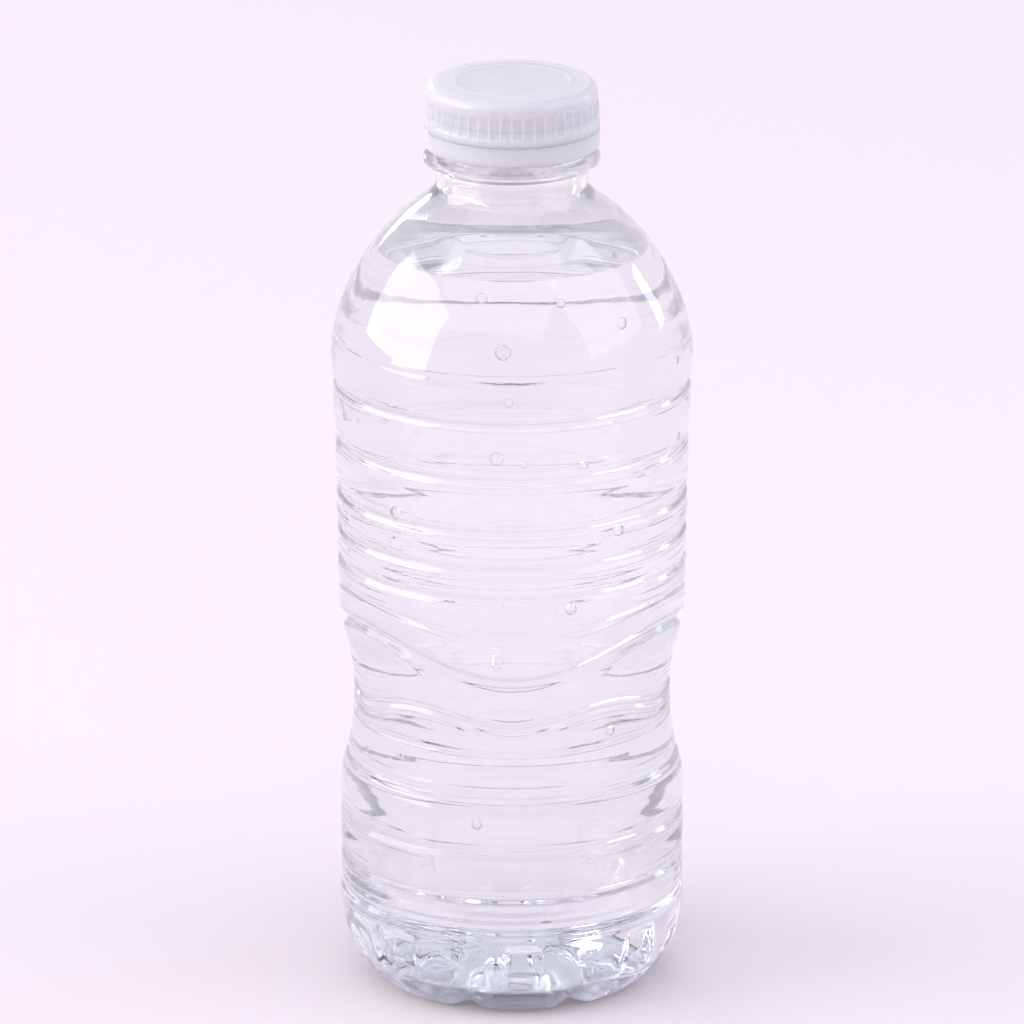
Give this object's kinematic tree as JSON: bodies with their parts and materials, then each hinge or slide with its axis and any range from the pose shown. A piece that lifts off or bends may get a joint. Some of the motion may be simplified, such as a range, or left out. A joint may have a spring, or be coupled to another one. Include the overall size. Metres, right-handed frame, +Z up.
{
  "type": "water bottle",
  "caption": "Rigid clear drinks bottle with a ribbed body, pinched waist and footed base, full of water, closed by a low knurled screw cap over a tamper-evident band.",
  "frame": {"origin": "on the bottle's axis at the plane its feet stand on", "axes": "+Z up the bottle's axis towards the cap, -Y to the front, where the grip waves dip lowest"},
  "size_m": [0.0676, 0.0676, 0.1745],
  "materials": {
    "clear_pet": "clear, smooth",
    "still_water": "clear liquid",
    "band_plastic": "milky, satin",
    "cap_plastic": "milky, satin"
  },
  "bodies": {
    "bottle": {"bottle": "clear_pet", "water": "still_water"},
    "tamper_band": {"tamper_band": "band_plastic"},
    "cap": {"cap": "cap_plastic"}
  },
  "joints": [
    {"name": "cap_turn", "type": "hinge", "parent": "bottle", "child": "tamper_band", "pos_m": [0, 0, 0.17], "axis": [0, 0, 1], "range_deg": [0, 576.1]},
    {"name": "cap_lift", "type": "slide", "parent": "tamper_band", "child": "cap", "axis": [0, 0, 1], "range_m": [0, 0.012]}
  ],
  "couplings": [
    {"joint": "cap_turn", "follows": "cap_lift", "rad_per_m": 837.76}
  ]
}
